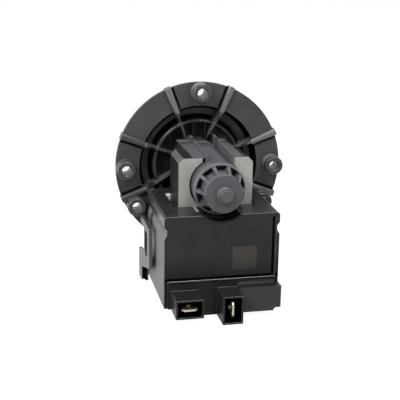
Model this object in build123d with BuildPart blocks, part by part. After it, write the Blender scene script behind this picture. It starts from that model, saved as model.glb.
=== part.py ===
from build123d import *
import math
import os

# Washer drain pump: a synchronous motor with a two-coil stator, its rotor sealed in a wet can
# that is one moulding with the round mounting cover, and a six-vane impeller with a loose drive.
# The origin is the centre of the cover's mounting face. The rotor axis is Y, the motor side
# faces -Y, the impeller faces +Y and the coil box hangs below, towards -Z. Sizes are millimetres.

overrun = 1.0
run_gap = 0.05
seat_gap = 0.3

# Cover: mounting flange, spigot, recess and drum
plate_r = 37.5
plate_t = 2.0
spigot_r = 28.5
spigot_h = 9.0
recess_r = 27.0
ring_in_r = 22.8
ring_depth = 6.0
drum_r = 20.6
drum_top_w = 1.5
drum_round = 1.3
drum_depth = 3.0
drum_wall_taper = 0.7
pocket_depth = 8.0
pocket_rib_t = 0.5
pocket_rib_y = 2.2
pocket_rib_low_z = 11.0
far_pocket_rib_x = -12.4
left_pocket_rib_x = -1.75
right_pocket_rib_x = 3.55
bowl_depth = 8.6

# Cover: radial ribs on the flange and thin fins across the recess
rib_count = 8
rib_start_deg = 22.5
rib_w = 2.2
rib_rim_w = 3.0
rib_h = 2.1
rib_round_share = 0.42
rib_reach = 38.0
fin_t = 0.9
fin_end_r = 12.0
fin_end_depth = 6.5

# Cover: screw bosses
screw_circle_r = 33.4
boss_h = 7.0
boss_r = 4.1
screw_hole_r = 2.15
boss_bevel = 0.35
boss_angles = [90.0, 180.0, 0.0, 210.0, 330.0]

# Can and its finned closed end
can_r = 10.5
can_wall = 1.0
can_root_r = 11.3
can_root_len = 11.1
can_len = 44.2
rim_r = 10.95
rim_len = 1.6
lip_r = 10.45
lip_len = 1.0
mouth_r = 10.05
crown_depth = 3.7
crown_floor = 1.3
hub_r = 7.75
hub_reach = 8.3
hub_wall = 1.4
gusset_count = 10
gusset_start_deg = 35.5
gusset_t = 1.3
gusset_drop = 0.3
end_boss_r = 3.35
end_boss_h = 2.5
end_boss_bevel = 0.4
end_pip_r = 2.6
end_pip_h = 1.5

# Stator stack
stack_half_w = 15.7
stack_top = 11.35
stack_t = 19.2
stack_front = 36.6
stack_corner = 2.1
pole_bore_r = 11.1
fin_slot_gap = 0.3
leg_in = 5.7
leg_end_z = 39.8
yoke_h = 7.0

# Can fins and the wings that rest on the stator
left_fin_x = -4.0
right_fin_x = 6.8
top_fin_t = 1.0
top_fin_back = 6.5
top_fin_back_z = 14.0
top_fin_front_z = 12.6
top_fin_front = 37.4
wing_t = 0.5
wing_back = 0.5
left_wing_x = -10.3
right_wing_x = 11.3
wing_taper = 0.9

# Coil box
box_half_w = 24.0
box_front = 50.8
box_back = 6.0
box_top = 9.0
box_bottom = 48.0
box_wall = 1.4
can_slot_r = 11.6
saddle_t = 0.9
stack_slot_gap = 0.4
collar_gap = 0.3
lip_z = 37.4
lip_out = 0.4
lip_h = 1.0
groove_top = 13.2
groove_mid = 14.7
groove_turn = 16.6
groove_low = 18.4
side_groove = 1.15
groove_taper = 0.2
panel_line = 0.5
panel_line_in = 1.7
corner_bevel = 0.8
top_window_w = 19.9
top_window_front = 44.85
latch_w = 2.7
latch_t = 1.6
latch_top = 5.2

# Clip strip in the top window
clip_w = 1.5
clip_t = 0.8
clip_drop = 0.3

# Terminal base
base_gap = 0.1
foot_z = 52.0
foot_left = -8.0
foot_inset = 1.4
foot_back = 12.0
base_floor_z = 48.4
base_floor_t = 1.4
block_left = 6.5
block_top = 39.0
block_bottom = 49.6
block_reach = 5.2
block_notch_w = 2.1
block_notch_run = 1.5
block_notch_h = 1.2
flat_shroud_inset = 8.6
flat_shroud_z = -44.45
flat_shroud_w = 11.4
flat_shroud_h = 7.9
flat_tab_z = -44.9
tall_shroud_x = 2.35
tall_shroud_z = -46.05
tall_shroud_w = 8.4
tall_shroud_h = 12.0
shroud_reach = 11.2
shroud_wall = 0.7

# Tab terminals
tab_w = 6.3
tab_t = 0.8
tab_recess = 0.5
tab_tip = 0.9
lance_w = 1.6
lance_l = 1.4
lance_h = 0.7
lance_back = 4.0

# Bobbins and coils
bobbin_wall = 0.8
bobbin_gap = 0.2
bobbin_top = 13.0
bobbin_bottom = 39.2
flange_t = 1.0
flange_in = 0.4
flange_side_gap = 0.25
flange_gap = 0.4
collar_out = 17.4
collar_back = 14.4
collar_top = 9.3
winding_step = 1.0
lead_r = 0.4
fuse_r = 1.35
fuse_len = 9.0
fuse_z = -25.0

# Rotor
shaft_r = 1.5
shaft_end_gap = 2.7
shaft_front = 21.0
core_r = 3.6
magnet_r = 8.6
core_gap = 1.0
cap_t = 1.2
cap_r = 9.0
nose_r = 3.2
washer_r = 4.2
washer_t = 0.6

# Bearings and seals
bush_r = 3.5
bush_len = 6.5
seat_r = 5.2
carrier_len = 9.4
carrier_flange_r = 13.0
carrier_flange_t = 1.6
carrier_lip = 1.2
seal_len = 2.2
cover_seal_r = 1.1
cover_seal_y = 6.5
shaft_seal_r = 5.0

# Impeller and its loose drive
impeller_gap = 1.0
impeller_r = 20.5
disc_t = 1.4
impeller_hub_r = 7.8
hub_wall_t = 1.3
impeller_h = 13.0
vane_count = 6
vane_t = 1.8
vane_h = 11.0
tip_step = 3.0
dog_r = 6.2
dog_h = 7.0
dog_core_r = 2.8
dog_deg = 30.0
dog_count = 2
stop_deg = 24.0
pad_deg = 6.0
stop_in_r = 3.2
drive_gap = 0.3
rest_deg = 0.5
pad_ring_t = 0.8
pad_ring_in_r = 1.9
cap_disc_t = 1.5
cap_plug_t = 1.0

# Wire guide beside the coil box: a hooked plate that runs forward from the flange, with a foot
guide_gap = 1.6
guide_t = 1.4
guide_front = 30.0
guide_strip_w = 5.8
guide_top_z = 20.3
guide_bar_h = 3.7
guide_slot_back = 17.8
guide_slot_end_z = 35.9
guide_slot_point_z = 33.9
guide_hook_z = 32.8
guide_hook_back_z = 38.0
guide_front_end_z = 38.0
guide_foot_front = 9.0
guide_foot_top_z = 44.2
guide_foot_z = 51.2
guide_foot_bevel = 1.8
tongue_in = 20.0
tongue_out = 24.7
tongue_t = 2.0

motor_side = Plane.XZ
face_y = -plate_t
floor_y = spigot_h - plate_t
stack_back = stack_front - stack_t
stack_mid = stack_front - stack_t / 2
can_in_r = can_r - can_wall
crown_y = -(can_len - crown_depth)
can_in_y = crown_y + crown_floor
hub_len = can_len + hub_reach
shaft_back = hub_len - shaft_end_gap
hub_in_r = hub_r - hub_wall
hub_in_y = -(hub_len - hub_wall)
flange_out = box_half_w - box_wall - side_groove - flange_side_gap
foot_right = box_half_w - foot_inset
flat_shroud_x = flat_shroud_inset - box_half_w
guide_x = box_half_w + guide_gap + guide_t
guide_foot_in = box_half_w + base_gap
flange_depth = (stack_mid - box_back - box_wall - flange_gap) * 2
magnet_len = (-can_in_y - stack_mid - cap_t - core_gap) * 2

os.makedirs("parts", exist_ok=True)


def ring(outer_r, inner_r, y_low, y_high):
    """A tube round the rotor axis between two Y planes."""
    with BuildPart() as piece:
        with BuildSketch(motor_side.offset(-y_high)):
            Circle(outer_r)
            if inner_r:
                Circle(inner_r, mode=Mode.SUBTRACT)
        extrude(amount=y_high - y_low)
    return piece


def save(piece, name):
    """Label one finished piece and write it."""
    piece.part.label = name
    export_step(piece.part, "parts/" + name + ".step")


# Rib: a half-round bar on the flange, running on as a thin fin over the recess. X is radial.
with BuildPart() as rib:
    with BuildSketch(Plane.XY):
        with BuildLine():
            Polyline(
                (recess_r - rib_w / 2, -rib_w / 2),
                (rib_reach, -rib_rim_w / 2),
                (rib_reach, rib_rim_w / 2),
                (recess_r - rib_w / 2, rib_w / 2),
                close=True,
            )
        make_face()
    extrude(amount=plate_t + rib_h)
    rib_top_edges = rib.edges().group_by(Axis.Z)[-1].sort_by(SortBy.LENGTH)[-2:]
    fillet(rib_top_edges, rib_w * rib_round_share)
    with BuildSketch(Plane.XZ) as fin_section:
        with BuildLine():
            Polyline(
                (fin_end_r - overrun, -floor_y),
                (recess_r, -floor_y),
                (recess_r, plate_t + rib_h),
                (fin_end_r - overrun, plate_t - fin_end_depth),
                close=True,
            )
        make_face()
    extrude(amount=fin_t / 2, both=True)

# Screw boss, standing along Z until it is placed
with BuildPart() as boss:
    with BuildSketch(Plane.XY):
        Circle(boss_r)
    extrude(amount=plate_t + boss_h)
    chamfer(boss.edges().filter_by(GeomType.CIRCLE).sort_by(Axis.Z)[-1], boss_bevel)
boss_places = [
    (screw_circle_r * math.cos(math.radians(a)), screw_circle_r * math.sin(math.radians(a)))
    for a in boss_angles
]

# Gusset of the crown, between the rim and the hub. X is radial.
with BuildPart() as gusset:
    with BuildSketch(Plane.XZ):
        with BuildLine():
            Polyline(
                (hub_r - hub_wall / 2, -crown_y - crown_floor / 2),
                ((mouth_r + lip_r) / 2, -crown_y - crown_floor / 2),
                ((mouth_r + lip_r) / 2, can_len + lip_len - gusset_drop),
                (hub_r - hub_wall / 4, hub_len - gusset_drop),
                (hub_r - hub_wall / 2, hub_len - gusset_drop),
                close=True,
            )
        make_face()
    extrude(amount=gusset_t / 2, both=True)

# Cover moulding: one revolved shell for flange, spigot, recess, drum, can and hub
bowl_y = face_y + bowl_depth
drum_y = face_y + drum_depth
pocket_y = face_y + pocket_depth
with BuildPart() as pump_cover:
    with BuildSketch(Plane.XY) as cover_section:
        with BuildLine():
            Polyline(
                (can_in_r, spigot_h),
                (spigot_r, spigot_h),
                (spigot_r, 0),
                (plate_r, 0),
                (plate_r, face_y),
                (recess_r, face_y),
                (recess_r, face_y + ring_depth),
                (ring_in_r, face_y + ring_depth),
                (ring_in_r, floor_y),
                (drum_r, floor_y),
                (drum_r, drum_y),
                (drum_r - drum_top_w, drum_y),
                (drum_r - drum_top_w - drum_wall_taper, pocket_y),
                (fin_end_r, bowl_y),
                (can_root_r, bowl_y),
                (can_root_r, -can_root_len),
                (can_r, -can_root_len),
                (can_r, rim_len - can_len),
                (rim_r, rim_len - can_len),
                (rim_r, -can_len),
                (lip_r, -can_len - lip_len),
                (mouth_r, -can_len - lip_len),
                (mouth_r, crown_y),
                (hub_r, crown_y),
                (hub_r, -hub_len),
                (0, -hub_len),
                (0, hub_in_y),
                (hub_in_r, hub_in_y),
                (hub_in_r, can_in_y),
                (can_in_r, can_in_y),
                close=True,
            )
        make_face()
        at_drum_y = cover_section.vertices().filter_by(lambda v: abs(v.Y - drum_y) < run_gap)
        fillet(at_drum_y.sort_by(Axis.X)[-1], drum_round)
    revolve(axis=Axis.Y)
    with Locations(motor_side):
        with PolarLocations(0, rib_count, start_angle=rib_start_deg):
            add(rib.part)
    with Locations(motor_side):
        with Locations(*boss_places):
            add(boss.part)
    with Locations(motor_side):
        with PolarLocations(0, gusset_count, start_angle=gusset_start_deg):
            add(gusset.part)
    # End boss on the hub
    with BuildSketch(motor_side.offset(hub_len)):
        Circle(end_boss_r)
    extrude(amount=end_boss_h)
    end_boss_edge = pump_cover.edges().filter_by(GeomType.CIRCLE).sort_by(Axis.Y)[0]
    chamfer(end_boss_edge, end_boss_bevel)
    with BuildSketch(motor_side.offset(hub_len + end_boss_h)):
        Circle(end_pip_r)
    extrude(amount=end_pip_h)
    end_pip_edge = pump_cover.edges().filter_by(GeomType.CIRCLE).sort_by(Axis.Y)[0]
    fillet(end_pip_edge, end_boss_bevel)
    # Two upright fins along the top of the can, and a wing beside each that rests on the stator
    for fin_x, wing_x, front_x in (
        (left_fin_x, left_wing_x, left_wing_x + wing_taper),
        (right_fin_x, right_wing_x, right_wing_x),
    ):
        fin_foot_z = math.sqrt(can_r ** 2 - fin_x ** 2) - can_wall / 2
        with BuildSketch(Plane.YZ.offset(fin_x)):
            with BuildLine():
                Polyline(
                    (top_fin_back, fin_foot_z),
                    (top_fin_back, top_fin_back_z),
                    (-top_fin_front, top_fin_front_z),
                    (-top_fin_front, fin_foot_z),
                    close=True,
                )
            make_face()
        extrude(amount=top_fin_t / 2, both=True)
        with BuildSketch(Plane.XY.offset(stack_top)):
            with BuildLine():
                Polyline(
                    (fin_x, wing_back),
                    (wing_x, wing_back),
                    (front_x, -stack_front),
                    (fin_x, -stack_front),
                    close=True,
                )
            make_face()
        extrude(amount=wing_t)
    # Low upright ribs on the floor of the drum, above the can
    for rib_x in (far_pocket_rib_x, left_pocket_rib_x, right_pocket_rib_x):
        with BuildSketch(motor_side.offset(-floor_y)):
            rib_top_z = math.sqrt((drum_r - drum_top_w / 2) ** 2 - rib_x ** 2)
            with Locations((rib_x, (pocket_rib_low_z + rib_top_z) / 2)):
                Rectangle(pocket_rib_t, rib_top_z - pocket_rib_low_z)
        extrude(amount=floor_y - pocket_rib_y)
    # Groove of the sealing ring, round the spigot
    with BuildSketch(motor_side.offset(-cover_seal_y - cover_seal_r - seat_gap / 2)):
        Circle(spigot_r + overrun)
        Circle(spigot_r - cover_seal_r * 2 - run_gap, mode=Mode.SUBTRACT)
    extrude(amount=cover_seal_r * 2 + seat_gap, mode=Mode.SUBTRACT)
    # Tongue below the flange, and the wire guide that stands beside the coil box
    with BuildSketch(motor_side):
        with Locations((-(tongue_in + tongue_out) / 2, -(guide_top_z + guide_foot_z) / 2)):
            Rectangle(tongue_out - tongue_in, guide_foot_z - guide_top_z)
    extrude(amount=tongue_t)
    with BuildSketch(Plane.YZ.offset(-guide_x)) as guide_section:
        with BuildLine():
            Polyline(
                (0, -guide_top_z),
                (-guide_front, -guide_top_z),
                (-guide_front, -guide_front_end_z),
                (-guide_foot_front, -guide_foot_top_z),
                (-guide_foot_front, -guide_foot_z + guide_foot_bevel),
                (-guide_foot_front + guide_foot_bevel, -guide_foot_z),
                (0, -guide_foot_z),
                (0, -guide_hook_back_z),
                (-tongue_t, -guide_hook_back_z),
                (-guide_slot_back, -guide_hook_z),
                (-guide_slot_back, -guide_slot_point_z),
                (-(guide_front - guide_strip_w + guide_slot_back) / 2, -guide_slot_end_z),
                (-guide_front + guide_strip_w, -guide_slot_point_z),
                (-guide_front + guide_strip_w, -guide_top_z - guide_bar_h),
                (0, -guide_top_z - guide_bar_h),
                close=True,
            )
        make_face()
    extrude(amount=guide_t)
    with BuildSketch(motor_side) as guide_foot_section:
        with Locations((-(guide_x + guide_foot_in) / 2, -(guide_foot_top_z + guide_foot_z) / 2)):
            Rectangle(guide_x - guide_foot_in, guide_foot_z - guide_foot_top_z)
        low_corner = guide_foot_section.vertices().group_by(Axis.Z)[0].sort_by(Axis.X)[0]
        chamfer(low_corner, guide_foot_bevel)
    extrude(amount=guide_foot_front)
    with BuildSketch(motor_side):
        with Locations((-(guide_x + tongue_out) / 2, -guide_top_z - guide_bar_h / 2)):
            Rectangle(guide_x - tongue_out, guide_bar_h)
    extrude(amount=tongue_t)
    # Screw holes, bevelled at the boss faces
    with BuildSketch(motor_side.offset(-overrun)):
        with Locations(*boss_places):
            Circle(screw_hole_r)
    extrude(amount=plate_t + boss_h + overrun * 2, mode=Mode.SUBTRACT)
    boss_face_circles = (
        pump_cover.edges()
        .filter_by(GeomType.CIRCLE)
        .filter_by(lambda e: abs(e.arc_center.Y + plate_t + boss_h) < run_gap)
    )
    chamfer(boss_face_circles.filter_by(lambda e: e.radius < boss_r - boss_bevel * 2), boss_bevel)
save(pump_cover, "pump_cover")

# Stator pole pieces: a laminated leg each side with its arc round the can
leg_w = stack_half_w - leg_in
fin_side_in = right_fin_x + top_fin_t / 2 + fin_slot_gap
for name, side, top_in in (("stator_pole_left", -1, leg_in), ("stator_pole_right", 1, fin_side_in)):
    with BuildPart() as pole:
        with BuildSketch(motor_side.offset(stack_back)):
            with BuildLine():
                Polyline(
                    (side * leg_in, -leg_end_z),
                    (side * stack_half_w, -leg_end_z),
                    (side * stack_half_w, stack_top - stack_corner),
                    (side * (stack_half_w - stack_corner), stack_top),
                    (side * top_in, stack_top),
                    (side * top_in, 0),
                    (side * leg_in, -leg_in),
                    close=True,
                )
            make_face()
            Circle(pole_bore_r, mode=Mode.SUBTRACT)
        extrude(amount=stack_t)
    save(pole, name)

with BuildPart() as stator_yoke:
    with BuildSketch(motor_side.offset(stack_back)):
        with Locations((0, -leg_end_z - yoke_h / 2)):
            Rectangle(stack_half_w * 2, yoke_h)
    extrude(amount=stack_t)
save(stator_yoke, "stator_yoke")

# Bobbin and coil on each leg
leg_mid = (leg_in + stack_half_w) / 2
tube_w = leg_w + (bobbin_gap + bobbin_wall) * 2
tube_d = stack_t + (bobbin_gap + bobbin_wall) * 2
flange_mid = (flange_in + flange_out) / 2
for name, side in (("left", -1), ("right", 1)):
    with BuildPart() as bobbin:
        with BuildSketch(Plane.XY.offset(-bobbin_bottom)):
            with Locations((side * leg_mid, -stack_mid)):
                Rectangle(tube_w, tube_d)
        extrude(amount=bobbin_bottom - bobbin_top)
        with BuildSketch(Plane.XY.offset(-bobbin_bottom), Plane.XY.offset(-bobbin_top - flange_t)):
            with Locations((side * flange_mid, -stack_mid)):
                Rectangle(flange_out - flange_in, flange_depth)
        extrude(amount=flange_t)
        # Collar that rises behind the leg into the top of the box
        with BuildSketch(Plane.XY.offset(-bobbin_top - flange_t)):
            collar_front = stack_back - bobbin_gap
            with Locations((side * (leg_mid + collar_out) / 2, -(collar_back + collar_front) / 2)):
                Rectangle(collar_out - leg_mid, collar_front - collar_back)
        extrude(amount=bobbin_top + flange_t - collar_top)
        with BuildSketch(Plane.XY.offset(-bobbin_bottom - overrun)):
            with Locations((side * leg_mid, -stack_mid)):
                Rectangle(leg_w + bobbin_gap * 2, stack_t + bobbin_gap * 2)
        extrude(amount=bobbin_bottom + overrun, mode=Mode.SUBTRACT)
    save(bobbin, "bobbin_" + name)
    with BuildPart() as winding:
        with BuildSketch(Plane.XY.offset(-bobbin_bottom + flange_t)) as winding_section:
            with Locations((side * flange_mid, -stack_mid)):
                Rectangle(flange_out - flange_in - winding_step * 2, flange_depth - winding_step * 2)
            fillet(winding_section.vertices(), winding_step * 3)
            with Locations((side * leg_mid, -stack_mid)):
                Rectangle(tube_w, tube_d, mode=Mode.SUBTRACT)
        extrude(amount=bobbin_bottom - bobbin_top - flange_t * 2)
    save(winding, "winding_" + name)

# Coil box: a cap over the coils, open below, with the stack and the can let into its top
box_depth = box_front - box_back
box_mid = (box_front + box_back) / 2
with BuildPart() as coil_housing:
    with BuildSketch(Plane.XY.offset(-box_bottom)):
        with Locations((0, -box_mid)):
            Rectangle(box_half_w * 2, box_depth)
    extrude(amount=box_bottom - box_top)
    bevel_edges = coil_housing.edges().filter_by(Axis.Y).group_by(Axis.Z)[-1]
    chamfer(bevel_edges, corner_bevel)
    # A shallow groove along both sides near the top
    for side in (-1, 1):
        with BuildSketch(motor_side.offset(box_back - overrun)):
            with BuildLine():
                Polyline(
                    (side * (box_half_w + overrun), -groove_top),
                    (side * box_half_w, -groove_top),
                    (side * (box_half_w - side_groove), -groove_mid),
                    (side * (box_half_w - side_groove + groove_taper), -groove_turn),
                    (side * box_half_w, -groove_low),
                    (side * (box_half_w + overrun), -groove_low),
                    close=True,
                )
            make_face()
        extrude(amount=box_depth + overrun * 2, mode=Mode.SUBTRACT)
    # Hollow inside, open at the bottom
    with BuildSketch(Plane.XY.offset(-box_bottom - overrun)):
        with Locations((0, -box_mid)):
            Rectangle((box_half_w - box_wall - side_groove) * 2, box_depth - box_wall * 2)
    extrude(amount=box_bottom + overrun - box_top - box_wall, mode=Mode.SUBTRACT)
    # The front panel stops at the lip, and the terminal base fills the space below it
    with BuildSketch(motor_side.offset(box_front - box_wall - overrun)):
        with Locations((0, -(lip_z + box_bottom + overrun) / 2)):
            Rectangle((box_half_w - box_wall) * 2, box_bottom + overrun - lip_z)
    extrude(amount=box_wall + overrun * 2, mode=Mode.SUBTRACT)
    # Lip along the lower edge of the front panel
    with BuildSketch(motor_side.offset(box_front)):
        with Locations((0, -lip_z + lip_h / 2)):
            Rectangle((box_half_w - box_wall) * 2, lip_h)
    extrude(amount=lip_out)
    # Window in front of the stack, then a trough under the can, then the openings for both
    with BuildSketch(Plane.XY.offset(-box_top - box_wall - overrun)):
        with Locations((0, -(stack_front + top_window_front) / 2)):
            Rectangle(top_window_w, top_window_front - stack_front)
    extrude(amount=box_wall + overrun * 2, mode=Mode.SUBTRACT)
    with BuildSketch(motor_side.offset(box_back)):
        Circle(can_slot_r + saddle_t)
        with Locations((0, can_slot_r + saddle_t - box_top)):
            Rectangle((can_slot_r + saddle_t) * 2, (can_slot_r + saddle_t) * 2, mode=Mode.SUBTRACT)
    extrude(amount=box_depth)
    window_back = collar_back - collar_gap
    window_front = stack_front + stack_slot_gap
    with BuildSketch(Plane.XY.offset(-can_slot_r - saddle_t - overrun)):
        with Locations((0, -(window_back + window_front) / 2)):
            Rectangle((collar_out + collar_gap) * 2, window_front - window_back)
    extrude(amount=can_slot_r + saddle_t + overrun, mode=Mode.SUBTRACT)
    with BuildSketch(motor_side.offset(box_back - overrun)):
        Circle(can_slot_r)
    extrude(amount=box_depth + overrun * 2, mode=Mode.SUBTRACT)
    # Latch post at the back of the top, on the left
    with BuildSketch(Plane.XY.offset(-box_top - box_wall / 2)):
        with Locations((-box_half_w + latch_w / 2, -box_back - latch_t / 2)):
            Rectangle(latch_w, latch_t)
    extrude(amount=box_top + box_wall / 2 - latch_top)
    # Fine line where the front panel meets the right wall
    with BuildSketch(motor_side.offset(box_front - panel_line)):
        line_x = box_half_w - panel_line_in
        with Locations((line_x, -(box_top + lip_z) / 2)):
            Rectangle(panel_line, lip_z - box_top - panel_line_in * 2)
    extrude(amount=panel_line + overrun, mode=Mode.SUBTRACT)
save(coil_housing, "coil_housing")

# Clip strip: lies in the top window against the front of the left pole
with BuildPart() as stack_clip:
    with BuildSketch(Plane.XY.offset(-box_top - clip_drop - clip_t)):
        clip_back = stack_front + run_gap
        clip_front = top_window_front - run_gap
        with Locations((-top_window_w / 2 + run_gap + clip_w / 2, -(clip_back + clip_front) / 2)):
            Rectangle(clip_w, clip_front - clip_back)
    extrude(amount=clip_t)
save(stack_clip, "stack_clip")

# Terminal base: closes the box from below, with the two shrouds, the side block and the foot
base_half_w = box_half_w - box_wall - side_groove - base_gap
base_front = box_front - box_wall
base_rear = box_back + box_wall + base_gap
lead_y = stack_mid + flange_depth / 2 - lead_r - seat_gap
tab_tail_y = lead_y - lead_r - seat_gap
with BuildPart() as terminal_base:
    with BuildSketch(Plane.XY.offset(-base_floor_z)):
        with Locations((0, -(base_front + base_rear) / 2)):
            Rectangle(base_half_w * 2, base_front - base_rear)
    extrude(amount=base_floor_t)
    # Front wall under the lip
    with BuildSketch(motor_side.offset(base_front)):
        with Locations((0, -(lip_z + base_gap + base_floor_z) / 2)):
            Rectangle((box_half_w - box_wall - base_gap) * 2, base_floor_z - lip_z - base_gap)
    extrude(amount=box_wall)
    # Foot that the pump rests on
    with BuildSketch(Plane.XY.offset(-foot_z)):
        with Locations(((foot_left + foot_right) / 2, -(box_front + foot_back) / 2)):
            Rectangle(foot_right - foot_left, box_front - foot_back)
    extrude(amount=foot_z - base_floor_z + base_gap)
    # Side block
    with BuildSketch(motor_side.offset(box_front)):
        with BuildLine():
            Polyline(
                (block_left, -block_bottom),
                (block_left, -block_top),
                (box_half_w, -block_top),
                (box_half_w, -block_bottom + block_notch_h),
                (box_half_w - block_notch_w, -block_bottom + block_notch_h),
                (box_half_w - block_notch_w - block_notch_run, -block_bottom),
                close=True,
            )
        make_face()
    extrude(amount=block_reach)
    # Shrouds, one lying flat and one upright
    with BuildSketch(motor_side.offset(box_front - overrun)):
        with Locations((flat_shroud_x, flat_shroud_z)):
            Rectangle(flat_shroud_w, flat_shroud_h)
        with Locations((tall_shroud_x, tall_shroud_z)):
            Rectangle(tall_shroud_w, tall_shroud_h)
    extrude(amount=shroud_reach + overrun)
    with BuildSketch(motor_side.offset(box_front)):
        with Locations((flat_shroud_x, flat_shroud_z)):
            Rectangle(flat_shroud_w - shroud_wall * 2, flat_shroud_h - shroud_wall * 2)
        with Locations((tall_shroud_x, tall_shroud_z)):
            Rectangle(tall_shroud_w - shroud_wall * 2, tall_shroud_h - shroud_wall * 2)
    extrude(amount=shroud_reach + overrun, mode=Mode.SUBTRACT)
    # Slots that hold the tabs, through the wall and on along their tails
    with BuildSketch(motor_side.offset(tab_tail_y)):
        with Locations((flat_shroud_x, flat_tab_z)):
            Rectangle(tab_w, tab_t)
        with Locations((tall_shroud_x, tall_shroud_z)):
            Rectangle(tab_t, tab_w)
    extrude(amount=box_front + overrun - tab_tail_y, mode=Mode.SUBTRACT)
save(terminal_base, "terminal_base")

# Tab terminals: a flat blade with a bevelled tip and a small punched lance
tab_tip_y = box_front + shroud_reach - tab_recess
for name, plane in (
    ("terminal_flat", Plane((flat_shroud_x, 0, flat_tab_z), x_dir=(1, 0, 0), z_dir=(0, 0, 1))),
    ("terminal_upright", Plane((tall_shroud_x, 0, tall_shroud_z), x_dir=(0, 0, -1), z_dir=(-1, 0, 0))),
):
    blade = 1 if name == "terminal_flat" else -1
    with BuildPart() as terminal:
        with BuildSketch(plane.offset(-tab_t / 2)):
            with BuildLine():
                Polyline(
                    (-tab_w / 2, -blade * tab_tail_y),
                    (-tab_w / 2, -blade * (tab_tip_y - tab_tip)),
                    (tab_tip - tab_w / 2, -blade * tab_tip_y),
                    (tab_w / 2 - tab_tip, -blade * tab_tip_y),
                    (tab_w / 2, -blade * (tab_tip_y - tab_tip)),
                    (tab_w / 2, -blade * tab_tail_y),
                    close=True,
                )
            make_face()
        extrude(amount=tab_t)
        with BuildSketch(plane.offset(tab_t / 2)):
            with Locations((0, -blade * (tab_tip_y - lance_back))):
                Rectangle(lance_w, lance_l)
        extrude(amount=lance_h)
    save(terminal, name)

# Thermal fuse against the left coil, the link between the coils, and the leads to the tabs
coil_front = stack_mid + flange_depth / 2 - winding_step
fuse_y = coil_front + seat_gap + fuse_r
with BuildPart() as thermal_fuse:
    with BuildSketch(Plane.XY.offset(fuse_z - fuse_len / 2)):
        with Locations((-flange_mid, -fuse_y)):
            Circle(fuse_r)
    extrude(amount=fuse_len)
save(thermal_fuse, "thermal_fuse")

with BuildPart() as link_wire:
    with BuildSketch(Plane.YZ.offset(-flange_mid)):
        with Locations((-(coil_front + seat_gap + lead_r), -bobbin_bottom + flange_t + winding_step * 2)):
            Circle(lead_r)
    extrude(amount=flange_mid * 2)
save(link_wire, "link_wire")

with BuildPart() as lead_left:
    with BuildSketch(Plane.XY.offset(flat_tab_z + tab_t / 2)):
        with Locations((flat_shroud_x, -lead_y)):
            Circle(lead_r)
    extrude(amount=-bobbin_bottom - flat_tab_z - tab_t / 2 - seat_gap)
save(lead_left, "lead_left")

with BuildPart() as lead_right:
    with BuildSketch(Plane.XY.offset(tall_shroud_z + tab_w / 2)):
        with Locations((tall_shroud_x, -lead_y)):
            Circle(lead_r)
    extrude(amount=-bobbin_bottom - tall_shroud_z - tab_w / 2 - seat_gap)
save(lead_right, "lead_right")

# Rear bearing in the hub: rubber seat round a plain bush
rear_bush_y = hub_in_y + hub_wall
save(ring(bush_r, shaft_r + run_gap, rear_bush_y, rear_bush_y + bush_len), "rear_bush")
rear_seat = ring(hub_in_r - run_gap, bush_r, rear_bush_y, rear_bush_y + bush_len)
save(rear_seat, "rear_bush_seat")

# Front bearing: a carrier pressed into the can's mouth, with its seat, bush and lip seal
carrier_in_y = spigot_h - carrier_len
with BuildPart() as bearing_carrier:
    with BuildSketch(Plane.XY):
        with BuildLine():
            Polyline(
                (seat_r, carrier_in_y),
                (can_in_r - run_gap, carrier_in_y),
                (can_in_r - run_gap, spigot_h),
                (carrier_flange_r, spigot_h),
                (carrier_flange_r, spigot_h + carrier_flange_t),
                (shaft_seal_r, spigot_h + carrier_flange_t),
                (shaft_seal_r, spigot_h + carrier_flange_t - seal_len),
                (bush_r - carrier_lip, spigot_h + carrier_flange_t - seal_len),
                (bush_r - carrier_lip, carrier_in_y + bush_len + seat_gap),
                (seat_r, carrier_in_y + bush_len + seat_gap),
                close=True,
            )
        make_face()
    revolve(axis=Axis.Y)
save(bearing_carrier, "bearing_carrier")
save(ring(bush_r, shaft_r + run_gap, carrier_in_y, carrier_in_y + bush_len), "front_bush")
save(ring(seat_r - run_gap, bush_r, carrier_in_y, carrier_in_y + bush_len), "front_bush_seat")
seal_y = spigot_h + carrier_flange_t
save(ring(shaft_seal_r - run_gap, shaft_r + run_gap, seal_y - seal_len, seal_y), "shaft_seal")

# Sealing ring in the spigot's groove, drawn pressed flush
with BuildPart() as cover_seal:
    with BuildSketch(Plane.XY):
        with Locations((spigot_r - cover_seal_r, cover_seal_y)):
            Circle(cover_seal_r)
    revolve(axis=Axis.Y)
save(cover_seal, "cover_seal")

# Rotor: shaft, magnet ring on a plastic core with end caps, two thrust washers
magnet_y = -stack_mid
rear_washer_y = rear_bush_y + bush_len + seat_gap
front_washer_y = carrier_in_y - seat_gap
core_back_y = rear_washer_y + washer_t
core_front_y = front_washer_y - washer_t
save(ring(shaft_r, 0, -shaft_back, shaft_front), "shaft")
save(ring(magnet_r, core_r, magnet_y - magnet_len / 2, magnet_y + magnet_len / 2), "magnet")
core_half = magnet_len / 2 + cap_t
with BuildPart() as rotor_core:
    with BuildSketch(Plane.XY):
        with BuildLine():
            Polyline(
                (shaft_r, core_back_y),
                (nose_r, core_back_y),
                (nose_r, magnet_y - core_half),
                (cap_r, magnet_y - core_half),
                (cap_r, magnet_y - magnet_len / 2),
                (core_r, magnet_y - magnet_len / 2),
                (core_r, magnet_y + magnet_len / 2),
                (cap_r, magnet_y + magnet_len / 2),
                (cap_r, magnet_y + core_half),
                (nose_r, magnet_y + core_half),
                (nose_r, core_front_y),
                (shaft_r, core_front_y),
                close=True,
            )
        make_face()
    revolve(axis=Axis.Y)
save(rotor_core, "rotor_core")
save(ring(washer_r, shaft_r + run_gap, rear_washer_y, rear_washer_y + washer_t), "thrust_washer_rear")
save(ring(washer_r, shaft_r + run_gap, front_washer_y - washer_t, front_washer_y), "thrust_washer_front")

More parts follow.
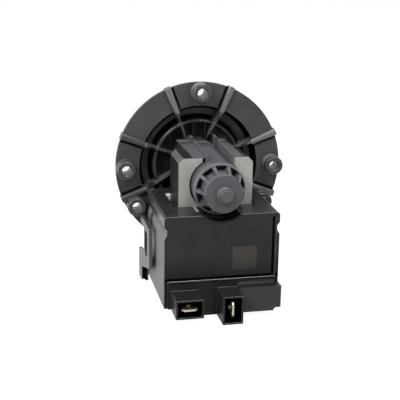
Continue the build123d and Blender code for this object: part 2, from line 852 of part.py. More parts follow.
# Impeller: disc, hollow hub with two stops inside, and straight vanes that pump either way round
impeller_y = spigot_h + carrier_flange_t + impeller_gap
hub_floor_y = impeller_y + hub_wall_t
hub_top_y = impeller_y + impeller_h
cavity_r = impeller_hub_r - hub_wall_t


def sector(outer_r, inner_r, mid_deg, span_deg, y_low, y_high):
    """A ring segment round the rotor axis, centred on one angle."""
    half = math.radians(span_deg / 2)
    mid = math.radians(mid_deg)

    def at(radius, angle):
        return (radius * math.cos(angle), radius * math.sin(angle))

    with BuildPart() as piece:
        with BuildSketch(motor_side.offset(-y_high)):
            with BuildLine():
                ThreePointArc(at(outer_r, mid - half), at(outer_r, mid), at(outer_r, mid + half))
                Line(at(outer_r, mid + half), at(inner_r, mid + half))
                ThreePointArc(at(inner_r, mid + half), at(inner_r, mid), at(inner_r, mid - half))
                Line(at(inner_r, mid - half), at(outer_r, mid - half))
            make_face()
        extrude(amount=y_high - y_low)
    return piece


lobe_step = 360 / dog_count
stop_span = stop_deg + pad_deg * 2
stop_mid = dog_deg / 2 + rest_deg + stop_span / 2
with BuildPart() as impeller:
    with BuildSketch(motor_side.offset(-impeller_y - disc_t)):
        Circle(impeller_r - tip_step)
    extrude(amount=disc_t)
    with BuildSketch(motor_side.offset(-hub_top_y)):
        Circle(impeller_hub_r)
    extrude(amount=impeller_h)
    with BuildSketch(motor_side.offset(-impeller_y - vane_h)):
        with PolarLocations((impeller_hub_r + impeller_r) / 2 - hub_wall_t / 2, vane_count):
            Rectangle(impeller_r - impeller_hub_r + hub_wall_t, vane_t)
    extrude(amount=vane_h)
    with BuildSketch(motor_side.offset(-hub_top_y - overrun)):
        Circle(cavity_r)
    extrude(amount=impeller_h + overrun - hub_wall_t, mode=Mode.SUBTRACT)
    with BuildSketch(motor_side.offset(-hub_floor_y - overrun)):
        Circle(shaft_r + run_gap)
    extrude(amount=hub_wall_t + overrun * 2, mode=Mode.SUBTRACT)
    for k in range(dog_count):
        stop = sector(cavity_r + hub_wall_t / 2, stop_in_r, stop_mid + k * lobe_step, stop_deg,
                      hub_floor_y - hub_wall_t / 2, hub_floor_y + dog_h)
        add(stop.part)
save(impeller, "impeller")

# Rubber damper: a ring on the hub floor with a pad on both flanks of each stop
with BuildPart() as impeller_damper:
    add(ring(stop_in_r, pad_ring_in_r, hub_floor_y, hub_floor_y + pad_ring_t).part)
    for k in range(dog_count):
        for flank in (-1, 1):
            pad_mid = stop_mid + k * lobe_step + flank * (stop_deg + pad_deg) / 2
            pad = sector(cavity_r - run_gap, stop_in_r - run_gap, pad_mid, pad_deg, hub_floor_y,
                         hub_floor_y + dog_h)
            add(pad.part)
save(impeller_damper, "impeller_damper")

# Drive dog pressed on the shaft: its two lobes push the stops after the lost motion
dog_y = hub_floor_y + pad_ring_t + drive_gap
with BuildPart() as drive_dog:
    add(ring(dog_core_r, shaft_r, dog_y, dog_y + dog_h).part)
    for k in range(dog_count):
        lobe = sector(dog_r, dog_core_r - run_gap, k * lobe_step, dog_deg, dog_y,
                      dog_y + dog_h - drive_gap * 2)
        add(lobe.part)
save(drive_dog, "drive_dog")

# Cap that closes the hub
with BuildPart() as impeller_cap:
    with BuildSketch(motor_side.offset(-hub_top_y - cap_disc_t)):
        Circle(impeller_hub_r)
    extrude(amount=cap_disc_t)
    with BuildSketch(motor_side.offset(-hub_top_y)):
        Circle(cavity_r - run_gap)
    extrude(amount=cap_plug_t)
    cap_edge = impeller_cap.edges().filter_by(GeomType.CIRCLE).sort_by(Axis.Y)[-1]
    fillet(cap_edge, cap_disc_t / 2)
save(impeller_cap, "impeller_cap")
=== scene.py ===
import math

import bpy
from mathutils import Matrix, Vector


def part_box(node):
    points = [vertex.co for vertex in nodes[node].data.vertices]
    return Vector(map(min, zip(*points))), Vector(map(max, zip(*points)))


# Looks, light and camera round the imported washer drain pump. The scene is in metres. The rotor axis is Y,
# the motor side faces -Y and the coil box hangs towards -Z.
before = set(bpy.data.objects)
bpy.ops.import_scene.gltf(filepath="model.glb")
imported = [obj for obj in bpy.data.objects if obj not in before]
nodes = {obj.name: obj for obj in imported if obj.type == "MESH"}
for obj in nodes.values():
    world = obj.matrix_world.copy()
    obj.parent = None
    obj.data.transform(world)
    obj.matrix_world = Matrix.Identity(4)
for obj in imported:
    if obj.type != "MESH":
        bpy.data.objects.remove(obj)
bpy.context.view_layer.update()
scene = bpy.context.scene
scene.view_settings.view_transform = "Standard"

mm = 0.001
white = (1.0, 1.0, 1.0, 1.0)
black = (0.0, 0.0, 0.0, 1.0)
green_share_of_cool = 1 / 4


def srgb(r, g, b):
    """A colour written as display values from 0 to 255, in linear light."""
    linear = []
    for value in (r, g, b):
        shown = value / 255
        linear.append(shown / 12.92 if shown <= 0.04045 else ((shown + 0.055) / 1.055) ** 2.4)
    return (linear[0], linear[1], linear[2], 1.0)


def grey(level, cool=0):
    """A display grey, a little blue where cool is above 0."""
    return srgb(level, level - cool * green_share_of_cool, level + cool)


def zone(low, high, soft):
    """The two edges of a zone and how far each edge fades inwards, from millimetres."""
    return low * mm, high * mm, soft * mm


def edge(at, soft):
    """The edge of a zone that is open on its other side, and how far it fades, from millimetres."""
    return at * mm, soft * mm


class Nodes:
    """The nodes of a material or a world, cleared and built anew."""

    def __init__(self, owner):
        owner.use_nodes = True
        self.tree = owner.node_tree
        self.tree.nodes.clear()

    def feed(self, socket, value):
        """Links a socket to the output of another node, or sets its constant."""
        if isinstance(value, bpy.types.NodeSocket):
            self.tree.links.new(value, socket)
        else:
            socket.default_value = value

    def new(self, kind, inputs=None, **settings):
        node = self.tree.nodes.new(kind)
        for key, value in settings.items():
            setattr(node, key, value)
        for key, value in (inputs or {}).items():
            self.feed(node.inputs[key], value)
        return node

    def math(self, kind, a, b=0.0, clamp=False):
        return self.new("ShaderNodeMath", {0: a, 1: b}, operation=kind, use_clamp=clamp).outputs[0]

    def product(self, first, *others):
        for value in others:
            first = self.math("MULTIPLY", first, value)
        return first

    def highest(self, first, *others):
        for value in others:
            first = self.math("MAXIMUM", first, value)
        return first

    def above(self, value, low, soft):
        """0 up to the low edge, rising to 1 over the soft distance."""
        return self.math("MULTIPLY", self.math("SUBTRACT", value, low), 1 / soft, clamp=True)

    def below(self, value, high, soft):
        """0 from the high edge on, and 1 a soft distance before it."""
        return self.math("MULTIPLY", self.math("SUBTRACT", high, value), 1 / soft, clamp=True)

    def band(self, value, low, high, soft):
        """1 between two edges, fading to 0 at each of them."""
        return self.product(self.above(value, low, soft), self.below(value, high, soft))

    def split(self, vector):
        return self.new("ShaderNodeSeparateXYZ", {"Vector": vector}).outputs

    def ramp(self, value, stops):
        """Runs a value through stops of position and colour."""
        node = self.new("ShaderNodeValToRGB", {"Fac": value})
        elements = node.color_ramp.elements
        while len(elements) < len(stops):
            elements.new(0.5)
        for element, (position, colour) in zip(elements, stops):
            element.position = position
            element.color = colour
        return node.outputs["Color"]

    def spread(self, value, low, high, to_low, to_high, curve="LINEAR"):
        """Maps the range from low to high onto another one."""
        inputs = {"Value": value, "From Min": low, "From Max": high, "To Min": to_low, "To Max": to_high}
        return self.new("ShaderNodeMapRange", inputs, interpolation_type=curve).outputs["Result"]

    def mix(self, fac, a, b, kind="RGBA"):
        """The value a, turning into b where fac is high."""
        return self.new("ShaderNodeMix", {"Factor": fac, "A": a, "B": b}, data_type=kind).outputs["Result"]


class Look(Nodes):
    """A procedural material with a mottled base colour, grain in its gloss and a fine bump."""

    blotch_share = 0.65
    blotch_detail = 5.0
    grain_detail = 3.0
    noise_rough = 0.6
    mottle_low = 0.36
    mottle_high = 0.64
    tint_dark_share = 0.82
    bump_depth = 0.1 * mm

    def __init__(self, name, dark, light, rough=0.5, rough_spread=0.08, metal=0.0, specular=0.4,
                 grain=900.0, patch=60.0, bump=0.1, stretch=(1.0, 1.0, 1.0)):
        self.mat = bpy.data.materials.new(name)
        super().__init__(self.mat)
        self.coord = self.new("ShaderNodeTexCoord").outputs["Object"]
        self.place = self.new("ShaderNodeMapping", {"Vector": self.coord, "Scale": stretch}).outputs["Vector"]
        blotch = self.noise(patch, self.blotch_detail, self.noise_rough)
        fine = self.noise(grain, self.grain_detail, self.noise_rough)
        self.mottle = self.math("ADD", self.product(blotch, self.blotch_share),
                                self.product(fine, 1 - self.blotch_share))
        self.colour = self.ramp(self.mottle, [(self.mottle_low, dark), (self.mottle_high, light)])
        self.rough = self.math("ADD", self.product(fine, rough_spread * 2), rough - rough_spread)
        self.bump = self.bumped(fine, bump, self.bump_depth)
        self.bsdf = self.new("ShaderNodeBsdfPrincipled", {
            "Metallic": metal,
            "Specular IOR Level": specular,
            "Base Color": self.colour,
            "Roughness": self.rough,
            "Normal": self.bump,
        })
        self.new("ShaderNodeOutputMaterial", {"Surface": self.bsdf.outputs["BSDF"]})

    def noise(self, scale, detail, rough):
        inputs = {"Vector": self.place, "Scale": scale, "Detail": detail, "Roughness": rough}
        return self.new("ShaderNodeTexNoise", inputs).outputs["Fac"]

    def bumped(self, height, strength, depth):
        inputs = {"Height": height, "Strength": strength, "Distance": depth}
        return self.new("ShaderNodeBump", inputs).outputs["Normal"]

    def axes(self):
        """The place on the object along X, Y and Z."""
        return self.split(self.coord)

    def radius(self, x, z):
        """The distance from an axis along Y."""
        return self.math("SQRT", self.math("ADD", self.product(x, x), self.product(z, z)))

    def facing(self, axis):
        """How far the surface faces along one axis of the object, from -1 to 1."""
        return self.split(self.new("ShaderNodeTexCoord").outputs["Normal"])[axis]

    def tint(self, fac, colour):
        """Lays a mottled colour over the base where fac is high."""
        dark = tuple(value * self.tint_dark_share for value in colour[:3]) + (1.0,)
        over = self.ramp(self.mottle, [(self.mottle_low, dark), (self.mottle_high, colour)])
        self.colour = self.mix(fac, self.colour, over)
        self.feed(self.bsdf.inputs["Base Color"], self.colour)

    def gloss(self, fac, rough):
        """Moves the roughness to another value where fac is high."""
        self.rough = self.mix(fac, self.rough, rough, kind="FLOAT")
        self.feed(self.bsdf.inputs["Roughness"], self.rough)

    def dull(self, fac):
        """Takes the gloss away where fac is high."""
        self.feed(self.bsdf.inputs["Specular Tint"], self.mix(fac, white, black))


def mouldings(name, low, high, edge_highlight, **values):
    """The look of a moulding, and the look of its rounded edges, paler by a painted highlight and smoother.
    """
    highlit = dict(values, rough=0.26, rough_spread=0.01, bump=0.01, specular=0.6)
    return (Look(name, grey(low, 1), grey(high, 1), **values),
            Look(name + "_edge", grey(low + edge_highlight, 1), grey(high + edge_highlight, 1), **highlit))


# Places that the zones follow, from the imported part, in millimetres
cover_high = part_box("pump_cover")[1] / mm
box_low, box_high = (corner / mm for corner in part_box("coil_housing"))
base_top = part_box("terminal_base")[1].z / mm

# How far a surface has to face the motor side to count as a front, and how fast that fades
front_facing = (-0.5, 0.2)

# Cover, recess: zones by radius round the rotor axis, by depth along it and by X. The can's root, the bowl,
# the drum with its crest, the moat and the ring follow one another outwards, under thin radial fins.
# The greys in them are painted shade and painted light; the zones by X give the crest and the right half
# their own light.
recess_r = zone(11.2, 27.6, 0.5)
recess_mouth_y = edge(-1.2, 0.4)
motor_side_y = zone(-1.7, cover_high.y - 1.2, 0.2)
fin_turns = (math.radians(22.5), math.radians(67.5))
fin_half = edge(0.55, 0.1)
fin_y = zone(-3.0, 6.6, 0.2)
fin_foot_y = edge(6.6, 0.2)
ring_r = zone(21.4, 25.3, 0.4)
outer_r = zone(25.3, 27.5, 0.3)
moat_r = zone(20.2, 22.1, 0.3)
moat_y = zone(2.3, cover_high.y - 1.2, 0.3)
crest_r = zone(18.6, 20.9, 0.5)
crest_y = zone(-1.0, 2.3, 0.3)
crest_x = edge(-3.0, 5.0)
right_x = edge(4.0, 8.0)
right_ring_r = zone(21.1, 25.3, 0.4)
right_moat_r = zone(19.3, 21.2, 0.3)
right_bowl_r = zone(11.2, 19.4, 0.3)

# Cover, shade on the ring under the rim of the plate: wider at the upper left, so round a shifted centre
rim_shade_x = 1.3 * mm
rim_shade_z = -1.5 * mm
rim_shade_r = edge(26.5, 0.3)
rim_shade_y = zone(3.4, 4.6, 0.2)

# Cover, outside: ribs that widen outwards with a painted shadow beside each, can, crown and wire guide with
# painted shade on its hook
rib_half_start = 0.18 * mm
rib_half_slope = 0.035
rib_y = zone(-6.5, -2.4, 0.3)
rib_shadow_width = zone(-0.3, 1.4, 0.4)
rib_shadow_r = edge(27.2, 0.3)
plate_face_y = zone(-2.3, -1.7, 0.2)
can_y = zone(-49.0, -9.5, 2.0)
crown_y = edge(-49.0, 1.0)
guide_x = edge(box_low.x - 0.5, 0.2)
guide_y = zone(-30.0, -3.0, 0.5)
hook_z = edge(-37.2, 0.8)

# Cover, display greys. They paint light and shade: painted shade in the recess, the moat, the dark rings, the
# strips beside the ribs and the front of the guide's hook; the fins, ring, crest, ribs, can and crown paler
# by painted light, the can and crown a little blue by a painted reflection; other greys on the right half of
# the recess, where the light falls otherwise. The rounded edges are paler by a lift, a painted highlight: in
# full outside, in part inside the recess.
recess_shade_grey = 28
fin_grey = 92
ring_grey = 56
right_ring_grey = 42
right_moat_shade_grey = 6
right_bowl_grey = 50
crest_highlight_grey = 50
moat_shade_grey = 12
shade_grey = 4
cover_shadow_grey = 12
rib_grey = 98
can_grey = 85
crown_grey = 76
guide_grey = 60
edge_highlight_lift = 52
recess_lift_share = 1 / 2
ring_lift_share = 1 / 3
recess_rough = 0.3
highlit_edge_recess_rough = 0.56


def fin_sides(look, x, z):
    """Signed distances from the middle planes of the fins, which are alike in all four quarters."""
    across = look.math("ABSOLUTE", x)
    up = look.math("ABSOLUTE", z)
    return [
        look.math("SUBTRACT", look.product(across, math.sin(turn)), look.product(up, math.cos(turn)))
        for turn in fin_turns
    ]


def paint_recess(look, lift, rough):
    """Paints shade into the recess, light and shade into its ring, moat, bowl and crest, other on its right
    half, and light onto its fins. Returns the painted shade that gets no gloss.
    """
    x, y, z = look.axes()
    radius = look.radius(x, z)
    sides = [look.math("ABSOLUTE", side) for side in fin_sides(look, x, z)]
    off_fins = look.above(look.math("MINIMUM", *sides), *fin_half)
    recess = look.product(look.band(radius, *recess_r), look.above(y, *recess_mouth_y))
    fins = look.product(recess, look.math("SUBTRACT", 1.0, off_fins), look.band(y, *fin_y))
    look.tint(fins, grey(fin_grey + lift * recess_lift_share))
    recess = look.product(recess, look.highest(off_fins, look.above(y, *fin_foot_y)))
    look.tint(recess, grey(recess_shade_grey + lift * recess_lift_share, 1))
    look.gloss(recess, rough)

    motor_side = look.product(recess, look.band(y, *motor_side_y))
    right = look.product(motor_side, look.above(x, *right_x))
    rings = (
        (motor_side, ring_r, grey(ring_grey + lift * ring_lift_share, 1)),
        (right, right_ring_r, grey(right_ring_grey + lift * ring_lift_share)),
        (right, right_moat_r, grey(right_moat_shade_grey)),
        (right, right_bowl_r, grey(right_bowl_grey)),
    )
    for part, ring, colour in rings:
        look.tint(look.product(part, look.band(radius, *ring)), colour)

    crest = look.product(look.band(radius, *crest_r), look.below(x, *crest_x), look.band(y, *crest_y))
    moat = look.product(motor_side, look.band(radius, *moat_r), look.band(y, *moat_y))
    from_rim = look.radius(look.math("SUBTRACT", x, rim_shade_x), look.math("SUBTRACT", z, rim_shade_z))
    under_rim = look.product(motor_side, look.above(from_rim, *rim_shade_r), look.band(y, *rim_shade_y))
    outer = look.product(motor_side, look.band(radius, *outer_r))
    look.tint(look.product(motor_side, crest), grey(crest_highlight_grey - lift * recess_lift_share))
    look.tint(moat, grey(moat_shade_grey))
    look.tint(look.highest(under_rim, outer), grey(shade_grey))
    return look.highest(outer, moat, under_rim)


def paint_outside(look, lift):
    """Paints a shadow beside each rib, light onto the ribs, the can and its crown, greys the wire guide and
    paints shade on the front of its hook. Returns the painted shade that gets no gloss.
    """
    x, y, z = look.axes()
    radius = look.radius(x, z)
    rib_half = look.math("ADD", look.product(radius, rib_half_slope), rib_half_start)
    side, other_side = fin_sides(look, x, z)
    rib_shadows = [
        look.band(look.math("SUBTRACT", distance, rib_half), *rib_shadow_width)
        for distance in (side, look.product(other_side, -1.0))
    ]
    beside = look.product(look.highest(*rib_shadows), look.band(y, *plate_face_y), look.above(radius, *rib_shadow_r))
    look.tint(beside, grey(cover_shadow_grey))
    look.tint(look.band(y, *rib_y), grey(rib_grey + lift, 1))
    look.tint(look.band(y, *can_y), grey(can_grey + lift, 4))
    look.tint(look.below(y, *crown_y), grey(crown_grey + lift, 3))
    guide = look.product(look.below(x, *guide_x), look.band(y, *guide_y))
    look.tint(guide, grey(guide_grey + lift))
    # Painted shade on the front faces at the foot of the guide's hook
    hook = look.product(guide, look.below(z, *hook_z), look.below(look.facing("Y"), *front_facing))
    look.tint(hook, grey(cover_shadow_grey))
    return look.highest(hook, beside)


# Cover plastic: textured dark grey on the flange, smooth and darker by painted shade in the recess, paler by
# painted light on the can
cover, cover_edge = mouldings("cover_plastic", low=50, high=66, edge_highlight=62, rough=0.38, grain=1500, bump=0.1)
for look, lift, rough in ((cover, 0, recess_rough), (cover_edge, edge_highlight_lift, highlit_edge_recess_rough)):
    corners = paint_recess(look, lift, rough)
    look.dull(look.highest(corners, paint_outside(look, lift)))

# Box: etched patch low on the front, side walls with a painted sheen and painted shade, painted shade low on
# the front, and painted shadow lines over the base and beside the right rim
etched_x = zone(4.1, 14.7, 0.4)
etched_z = zone(-32.9, -22.6, 0.4)
etched_y = edge(box_low.y + 0.7, 0.1)
etched_share = 0.7
speckle_scale = 2600.0
speckle_detail = 2.0
speckle_rough = 0.7
side_facing = (0.7, 0.1)
front_y = edge(box_low.y + 1.7, 0.2)
low_front_shade_z = edge(-26.5, 11.0)
behind_guide_y = zone(-21.5, -13.5, 3.0)
behind_guide_z = zone(-42.5, -14.5, 3.0)
upper_wall_z = edge(-16.7, 0.3)
seam_shadow_z = zone(base_top + 0.9, base_top + 2.6, 0.5)
right_rim_x = zone(box_high.x - 3.3, box_high.x - 1.9, 0.3)
rim_top_z = edge(-10.5, 0.3)
trough_r = edge(12.5, 0.2)
trough_y = edge(-46.5, 0.5)
etched_colour = srgb(84, 78, 70)
# Painted light and shade: a sheen on the side walls, shade low on the front, on the upper walls and in a
# strip behind the guide on both walls, shadow lines over the base and beside the right rim, and shade in the
# trough under the can
wall_sheen_grey = 106
low_front_shade_grey = 12
guide_shadow_grey = 30
upper_wall_shade_grey = 50
box_shadow_grey = 4
wall_rough = 0.6
upper_wall_rough = 0.3


def paint_box(look):
    """Sets off the etched patch and paints a sheen on the side walls, shade on their upper part and, on both
    walls, a strip of shade behind the guide, shade low on the front and shadow lines over the base and beside
    the right rim.
    """
    x, y, z = look.axes()
    etched = look.product(look.band(x, *etched_x), look.band(z, *etched_z), look.below(y, *etched_y))
    speckle = look.noise(speckle_scale, speckle_detail, speckle_rough)
    look.tint(look.product(etched, speckle, etched_share), etched_colour)
    walls = look.above(look.math("ABSOLUTE", look.facing("X")), *side_facing)
    look.tint(walls, grey(wall_sheen_grey))
    look.gloss(walls, wall_rough)
    front = look.below(y, *front_y)
    look.tint(look.product(look.below(z, *low_front_shade_z), front), grey(low_front_shade_grey))
    behind_guide = look.product(walls, look.band(y, *behind_guide_y), look.band(z, *behind_guide_z))
    look.tint(behind_guide, grey(guide_shadow_grey))
    upper_wall = look.product(walls, look.above(z, *upper_wall_z))
    look.tint(upper_wall, grey(upper_wall_shade_grey))
    look.gloss(upper_wall, upper_wall_rough)
    lines = look.highest(look.band(z, *seam_shadow_z), look.band(x, *right_rim_x))
    lines = look.product(lines, front, look.below(z, *rim_top_z))
    look.tint(lines, grey(box_shadow_grey))
    look.dull(lines)


def paint_trough(look):
    """Paints shade into the hollow of the box under the end of the can."""
    x, y, z = look.axes()
    trough = look.product(look.below(look.radius(x, z), *trough_r), look.below(y, *trough_y))
    look.tint(trough, grey(box_shadow_grey))


# Box plastic: near black with a fine mottle, duller on its sides and paler there by a painted sheen
box, box_edge = mouldings("box_plastic", low=28, high=39, edge_highlight=50, rough=0.34, grain=1800, bump=0.07,
                          patch=90)
paint_box(box)
for look in (box, box_edge):
    paint_trough(look)

# Terminal base: the shrouds' places and outer sizes in millimetres, and the side block
shroud_wall = 0.7
mouth_margin = 0.06
mouth_soft = 0.05
# Painted shade in the mouths and painted light on the block's front faces
mouth_shade_grey = 3
mouth_rough = 0.85
lit_block_grey = 50
shrouds = (
    {"x": -15.4, "z": -44.45, "width": 11.4, "height": 7.9},
    {"x": 2.35, "z": -46.05, "width": 8.4, "height": 12.0},
)
mouth_y = edge(-50.7, mouth_soft)
block_x = edge(6.9, 0.3)


def inside(middle, size):
    """The zone between the walls of a shroud, along one axis."""
    half = size / 2 - shroud_wall + mouth_margin
    return zone(middle - half, middle + half, mouth_soft)


def paint_base(look):
    """Paints shade into the mouths of the shrouds and light onto the front faces of the block."""
    x, y, z = look.axes()
    mouths = look.highest(*[
        look.product(look.band(x, *inside(shroud["x"], shroud["width"])),
                     look.band(z, *inside(shroud["z"], shroud["height"])))
        for shroud in shrouds
    ])
    mouths = look.product(mouths, look.below(y, *mouth_y))
    block = look.product(look.above(x, *block_x), look.below(look.facing("Y"), *front_facing))
    look.tint(block, grey(lit_block_grey))
    look.tint(mouths, grey(mouth_shade_grey))
    look.gloss(mouths, mouth_rough)
    look.dull(mouths)


# Base plastic: black, a little paler on the block's front faces by painted light, with painted shade in the
# mouths
base, base_edge = mouldings("base_plastic", low=21, high=31, edge_highlight=50, rough=0.33, grain=1700, bump=0.07,
                            patch=80)
paint_base(base)

# Stator steel: bare punched faces front and back, dark sheet edges all round, paler on the cut corners by a
# painted highlight
sheet_t = 0.5 * mm
sheet_bump = 0.12
sheet_depth = 0.05 * mm
corner_slope = (0.35, 0.1)
punched_facing = (0.5, 0.2)
corner_highlight_colour = srgb(100, 100, 98)
punched_colour = srgb(168, 166, 160)
steel = Look("stack_steel", srgb(30, 30, 29), srgb(42, 42, 40), rough=0.36, metal=0.35, grain=700,
             patch=70, bump=0.1)
slope = steel.product(steel.math("ABSOLUTE", steel.facing("X")), steel.math("ABSOLUTE", steel.facing("Z")))
steel.tint(steel.above(slope, *corner_slope), corner_highlight_colour)
steel.tint(steel.above(steel.math("ABSOLUTE", steel.facing("Y")), *punched_facing), punched_colour)
sheets = steel.math("SINE", steel.product(steel.axes()["Y"], 2 * math.pi / sheet_t))
ridges = steel.new("ShaderNodeBump", {"Height": sheets, "Strength": sheet_bump, "Distance": sheet_depth,
                                      "Normal": steel.bump})
steel.feed(steel.bsdf.inputs["Normal"], ridges.outputs["Normal"])

# Tabs: tinned brass, darker by painted shade on all faces but the front and back ends
tab_end_facing = (0.3, 0.2)
tab_side_shade_colour = srgb(92, 82, 64)
tab = Look("tab_metal", srgb(206, 196, 174), srgb(234, 226, 206), rough=0.3, metal=0.5, grain=500,
           patch=200, bump=0.05, stretch=(1.0, 0.2, 1.0))
tab.tint(tab.below(tab.math("ABSOLUTE", tab.facing("Y")), *tab_end_facing), tab_side_shade_colour)

# Metals, plastics and rubber of the clip and the inner pieces
clip = Look("clip_metal", srgb(176, 176, 172), srgb(212, 212, 206), rough=0.4, metal=0.3, grain=600,
            bump=0.05)
bobbin = Look("bobbin_plastic", srgb(214, 214, 210), srgb(234, 234, 230), rough=0.45, grain=1500, bump=0.05)
copper = Look("enamelled_copper", srgb(120, 52, 20), srgb(178, 88, 40), rough=0.3, metal=0.8,
              bump=0.3, stretch=(1.0, 1.0, 6.0))
fuse = Look("fuse_metal", srgb(150, 150, 150), srgb(200, 200, 200), rough=0.25, metal=0.9, bump=0.03)
lead = Look("lead_cover", srgb(120, 24, 20), srgb(160, 36, 30), bump=0.05)
bronze = Look("bush_bronze", srgb(120, 92, 56), srgb(160, 126, 80), rough=0.4, metal=0.8, grain=2500,
              bump=0.3)
rubber = Look("black_rubber", srgb(20, 20, 20), srgb(34, 34, 34), rough=0.7, grain=1200)
shaft = Look("ground_steel", srgb(170, 170, 170), srgb(205, 205, 205), rough=0.2, metal=1.0, bump=0.02)
ferrite = Look("magnet_ferrite", srgb(48, 48, 50), srgb(66, 66, 70), rough=0.6, grain=2500, bump=0.2)
pale = Look("pale_plastic", srgb(176, 174, 166), srgb(206, 204, 196), grain=1300, bump=0.08)
washer = Look("washer_plastic", srgb(170, 140, 90), srgb(200, 168, 112), grain=1300, bump=0.08)
vane = Look("impeller_plastic", srgb(150, 150, 146), srgb(182, 182, 178), rough=0.45, grain=1300)

pieces = (
    (cover, ["pump_cover"]),
    (box, ["coil_housing"]),
    (base, ["terminal_base"]),
    (steel, ["stator_pole_left", "stator_pole_right", "stator_yoke"]),
    (clip, ["stack_clip"]),
    (tab, ["terminal_flat", "terminal_upright"]),
    (bobbin, ["bobbin_left", "bobbin_right"]),
    (copper, ["winding_left", "winding_right", "link_wire"]),
    (fuse, ["thermal_fuse"]),
    (lead, ["lead_left", "lead_right"]),
    (bronze, ["rear_bush", "front_bush"]),
    (rubber, ["rear_bush_seat", "front_bush_seat", "shaft_seal", "cover_seal", "impeller_damper"]),
    (shaft, ["shaft"]),
    (ferrite, ["magnet"]),
    (pale, ["rotor_core", "bearing_carrier", "drive_dog"]),
    (washer, ["thrust_washer_rear", "thrust_washer_front"]),
    (vane, ["impeller", "impeller_cap"]),
)
for look, names in pieces:
    for name in names:
        nodes[name].data.materials.clear()
        nodes[name].data.materials.append(look.mat)

# Edge roundings that catch the light: width and segments. The mouldings get their paler edge look on them, a
# painted highlight.
rounding = {
    "pump_cover": (0.2 * mm, 2),
    "coil_housing": (0.3 * mm, 1),
    "terminal_base": (0.3 * mm, 1),
    "stator_pole_left": (0.15 * mm, 2),
    "stator_pole_right": (0.15 * mm, 2),
    "terminal_flat": (0.15 * mm, 2),
    "terminal_upright": (0.15 * mm, 2),
    "impeller": (0.2 * mm, 2),
}
highlit_edges = {"pump_cover": cover_edge, "coil_housing": box_edge, "terminal_base": base_edge}
weld_distance = 0.001 * mm
sharp_angle = math.radians(40)
for name, (width, segments) in rounding.items():
    weld = nodes[name].modifiers.new("weld", "WELD")
    weld.merge_threshold = weld_distance
    bevel = nodes[name].modifiers.new("edge", "BEVEL")
    bevel.width = width
    bevel.segments = segments
    bevel.limit_method = "ANGLE"
    bevel.angle_limit = sharp_angle
    bevel.use_clamp_overlap = True
    bevel.harden_normals = False
    if name in highlit_edges:
        nodes[name].data.materials.append(highlit_edges[name].mat)
        bevel.material = 1

# Floor: how bright it is for the camera, how much of its surface shows and what reflections see along Y,
# white behind the object and dim in front of it
floor_size = 6.0
floor_gap = 0.1 * mm
floor_glow = 0.95
floor_shown = 0.12
floor_bounce = 0.5
mirror_front_y = -0.3
mirror_back_y = 0.03
mirror_levels = ((0.0, 0.3), (0.45, 0.3), (0.62, 0.1), (0.7, 0.14), (0.86, 1.0))


def floor_material():
    """A glow for the camera over a dimmer surface that keeps the shadow."""
    mat = bpy.data.materials.new("floor_white")
    tree = Nodes(mat)
    rays = tree.new("ShaderNodeLightPath").outputs
    y = tree.split(tree.new("ShaderNodeNewGeometry").outputs["Position"])["Y"]
    along = tree.spread(y, mirror_front_y, mirror_back_y, 0.0, 1.0)
    mirror = tree.ramp(along, [(at, (level, level, level, 1.0)) for at, level in mirror_levels])
    seen = tree.product(rays["Is Camera Ray"], floor_glow)
    strength = tree.math("ADD", tree.product(rays["Is Glossy Ray"], mirror), seen)
    glow = tree.new("ShaderNodeEmission", {"Color": white, "Strength": strength})
    shown = tree.spread(rays["Is Diffuse Ray"], 0.0, 1.0, floor_shown, floor_bounce)
    flat = tree.new("ShaderNodeBsdfDiffuse", {"Color": shown})
    total = tree.new("ShaderNodeAddShader", {0: glow.outputs[0], 1: flat.outputs[0]})
    tree.new("ShaderNodeOutputMaterial", {"Surface": total.outputs[0]})
    return mat


floor_z = min(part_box(name)[0][2] for name in nodes)
bpy.ops.mesh.primitive_plane_add(size=floor_size, location=(0, 0, floor_z - floor_gap))
floor = bpy.context.object
floor.name = "studio_floor"
floor.data.materials.append(floor_material())

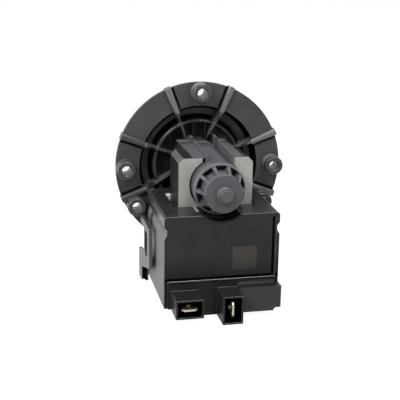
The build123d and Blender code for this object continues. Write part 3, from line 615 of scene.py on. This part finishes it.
# World: white where the camera looks and in reflections behind the object, dim in those of the room in front
room_front_y = -0.7
room_back_y = 0.1
room_front_level = 0.25
room_light = 0.34
world = bpy.data.worlds.new("studio")
scene.world = world
room = Nodes(world)
rays = room.new("ShaderNodeLightPath").outputs
towards_y = room.split(room.new("ShaderNodeTexCoord").outputs["Generated"])["Y"]
mirror = room.spread(towards_y, room_front_y, room_back_y, room_front_level, 1.0, curve="SMOOTHSTEP")
level = room.spread(rays["Is Glossy Ray"], 0.0, 1.0, room_light, mirror)
strength = room.highest(level, room.highest(rays["Is Camera Ray"], rays["Is Transmission Ray"]))
back = room.new("ShaderNodeBackground", {"Color": white, "Strength": strength})
room.new("ShaderNodeOutputWorld", {"Surface": back.outputs[0]})

# Lamps: place, width, height and power, all turned to the middle of the object
middle = Vector((0.0, -0.02, -0.005))
lamps = {
    "top": ((0.09, -0.26, 0.6), 0.22, 0.7, 4.4),
    "key": ((-0.5, -0.6, 0.55), 0.22, 0.22, 5.4),
    "side": ((-0.8, -0.05, 0.25), 0.5, 0.5, 4.0),
    "fill": ((0.6, -0.7, 0.2), 0.7, 0.7, 1.4),
}
for name, (place, width, height, power) in lamps.items():
    data = bpy.data.lights.new(name, "AREA")
    data.shape = "RECTANGLE"
    data.size = width
    data.size_y = height
    data.energy = power
    lamp = bpy.data.objects.new(name, data)
    scene.collection.objects.link(lamp)
    lamp.location = place
    lamp.rotation_euler = (middle - Vector(place)).to_track_quat("-Z", "Y").to_euler()

# Camera of the photo, found by fitting the flange, bosses, stator and box
photo_px = 400
focal_px = 888.54
sensor_width = 36.0
aim = Vector((0.87, -2.0, -16.5)) * mm
spot = Vector((-81.36, -383.39, 94.75)) * mm
roll = math.radians(0.80)
backwards = (spot - aim).normalized()
level_right = Vector((0, 0, 1)).cross(backwards).normalized()
level_up = backwards.cross(level_right)
right = level_right * math.cos(roll) + level_up * math.sin(roll)
up = level_up * math.cos(roll) - level_right * math.sin(roll)
cam_data = bpy.data.cameras.new("photo_camera")
cam_data.sensor_width = sensor_width
cam_data.lens = focal_px * sensor_width / photo_px
cam_data.clip_start = 10 * mm
cam_data.clip_end = 20.0
cam = bpy.data.objects.new("photo_camera", cam_data)
scene.collection.objects.link(cam)
cam.matrix_world = Matrix((
    (right.x, up.x, backwards.x, spot.x),
    (right.y, up.y, backwards.y, spot.y),
    (right.z, up.z, backwards.z, spot.z),
    (0, 0, 0, 1),
))
scene.camera = cam
